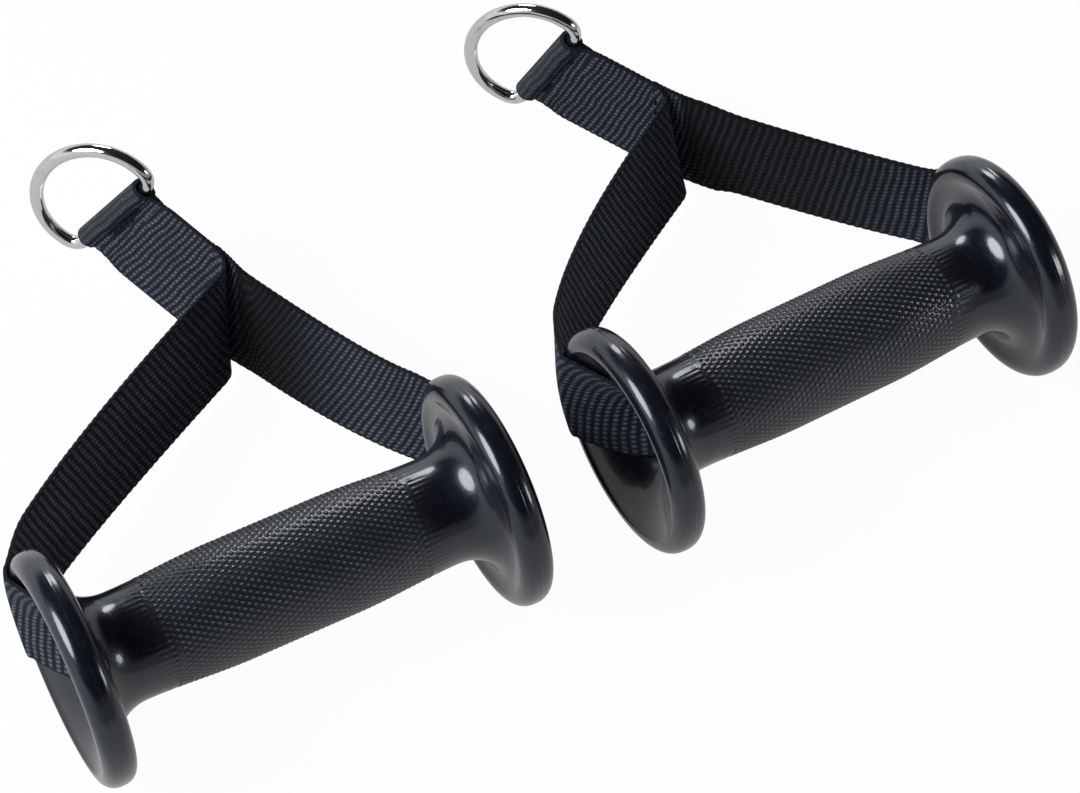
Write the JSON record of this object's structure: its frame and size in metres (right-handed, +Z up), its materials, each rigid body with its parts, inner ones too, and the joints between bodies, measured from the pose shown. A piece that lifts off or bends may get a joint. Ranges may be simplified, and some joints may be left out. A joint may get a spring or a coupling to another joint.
{
  "type": "pair of single-grip cable handles",
  "caption": "Flanged rubber hand grip on a loop of sewn webbing with a welded D-ring, as a pair for a cable machine.",
  "frame": {"origin": "on the floor, under the centre of the pair's box", "axes": "+X along the grip of handle a, from its left flange to its right one; +Y from the hand towards the D-rings; +Z up"},
  "size_m": [0.3574, 0.229, 0.0797],
  "materials": {
    "grip_rubber": "smooth gloss flanges, knurled palm",
    "core_plastic": "matte",
    "webbing": "woven, dull sheen",
    "ring_chrome": "polished"
  },
  "bodies": {
    "strap_a": {"strap_a": "webbing"},
    "grip_a": {"grip_a": "grip_rubber", "core_tube_a": "core_plastic"},
    "d_ring_a": {"d_ring_a": "ring_chrome"},
    "strap_b": {"strap_b": "webbing"},
    "grip_b": {"grip_b": "grip_rubber", "core_tube_b": "core_plastic"},
    "d_ring_b": {"d_ring_b": "ring_chrome"}
  },
  "joints": [
    {"name": "grip_spin_a", "type": "hinge", "parent": "strap_a", "child": "grip_a", "pos_m": [-0.09805, -0.07006, 0.03985], "axis": [1, 0, 0], "continuous": true},
    {"name": "ring_swivel_a", "type": "hinge", "parent": "strap_a", "child": "d_ring_a", "pos_m": [-0.08588, 0.09198, 0.0387], "axis": [0.5259, -0.3184, 0.7887], "range_deg": [-145, 114]},
    {"name": "pair_lift", "type": "slide", "parent": "strap_a", "child": "strap_b", "axis": [0, 0, 1], "range_m": [0, 0.15]},
    {"name": "grip_spin_b", "type": "hinge", "parent": "strap_b", "child": "grip_b", "pos_m": [0.09895, -0.07186, 0.03985], "axis": [0.9993, 0.0384, 0], "continuous": true},
    {"name": "ring_swivel_b", "type": "hinge", "parent": "strap_b", "child": "d_ring_b", "pos_m": [0.07737, 0.08223, 0.03878], "axis": [0.3542, -0.2995, 0.8859], "range_deg": [-135, 124]}
  ]
}
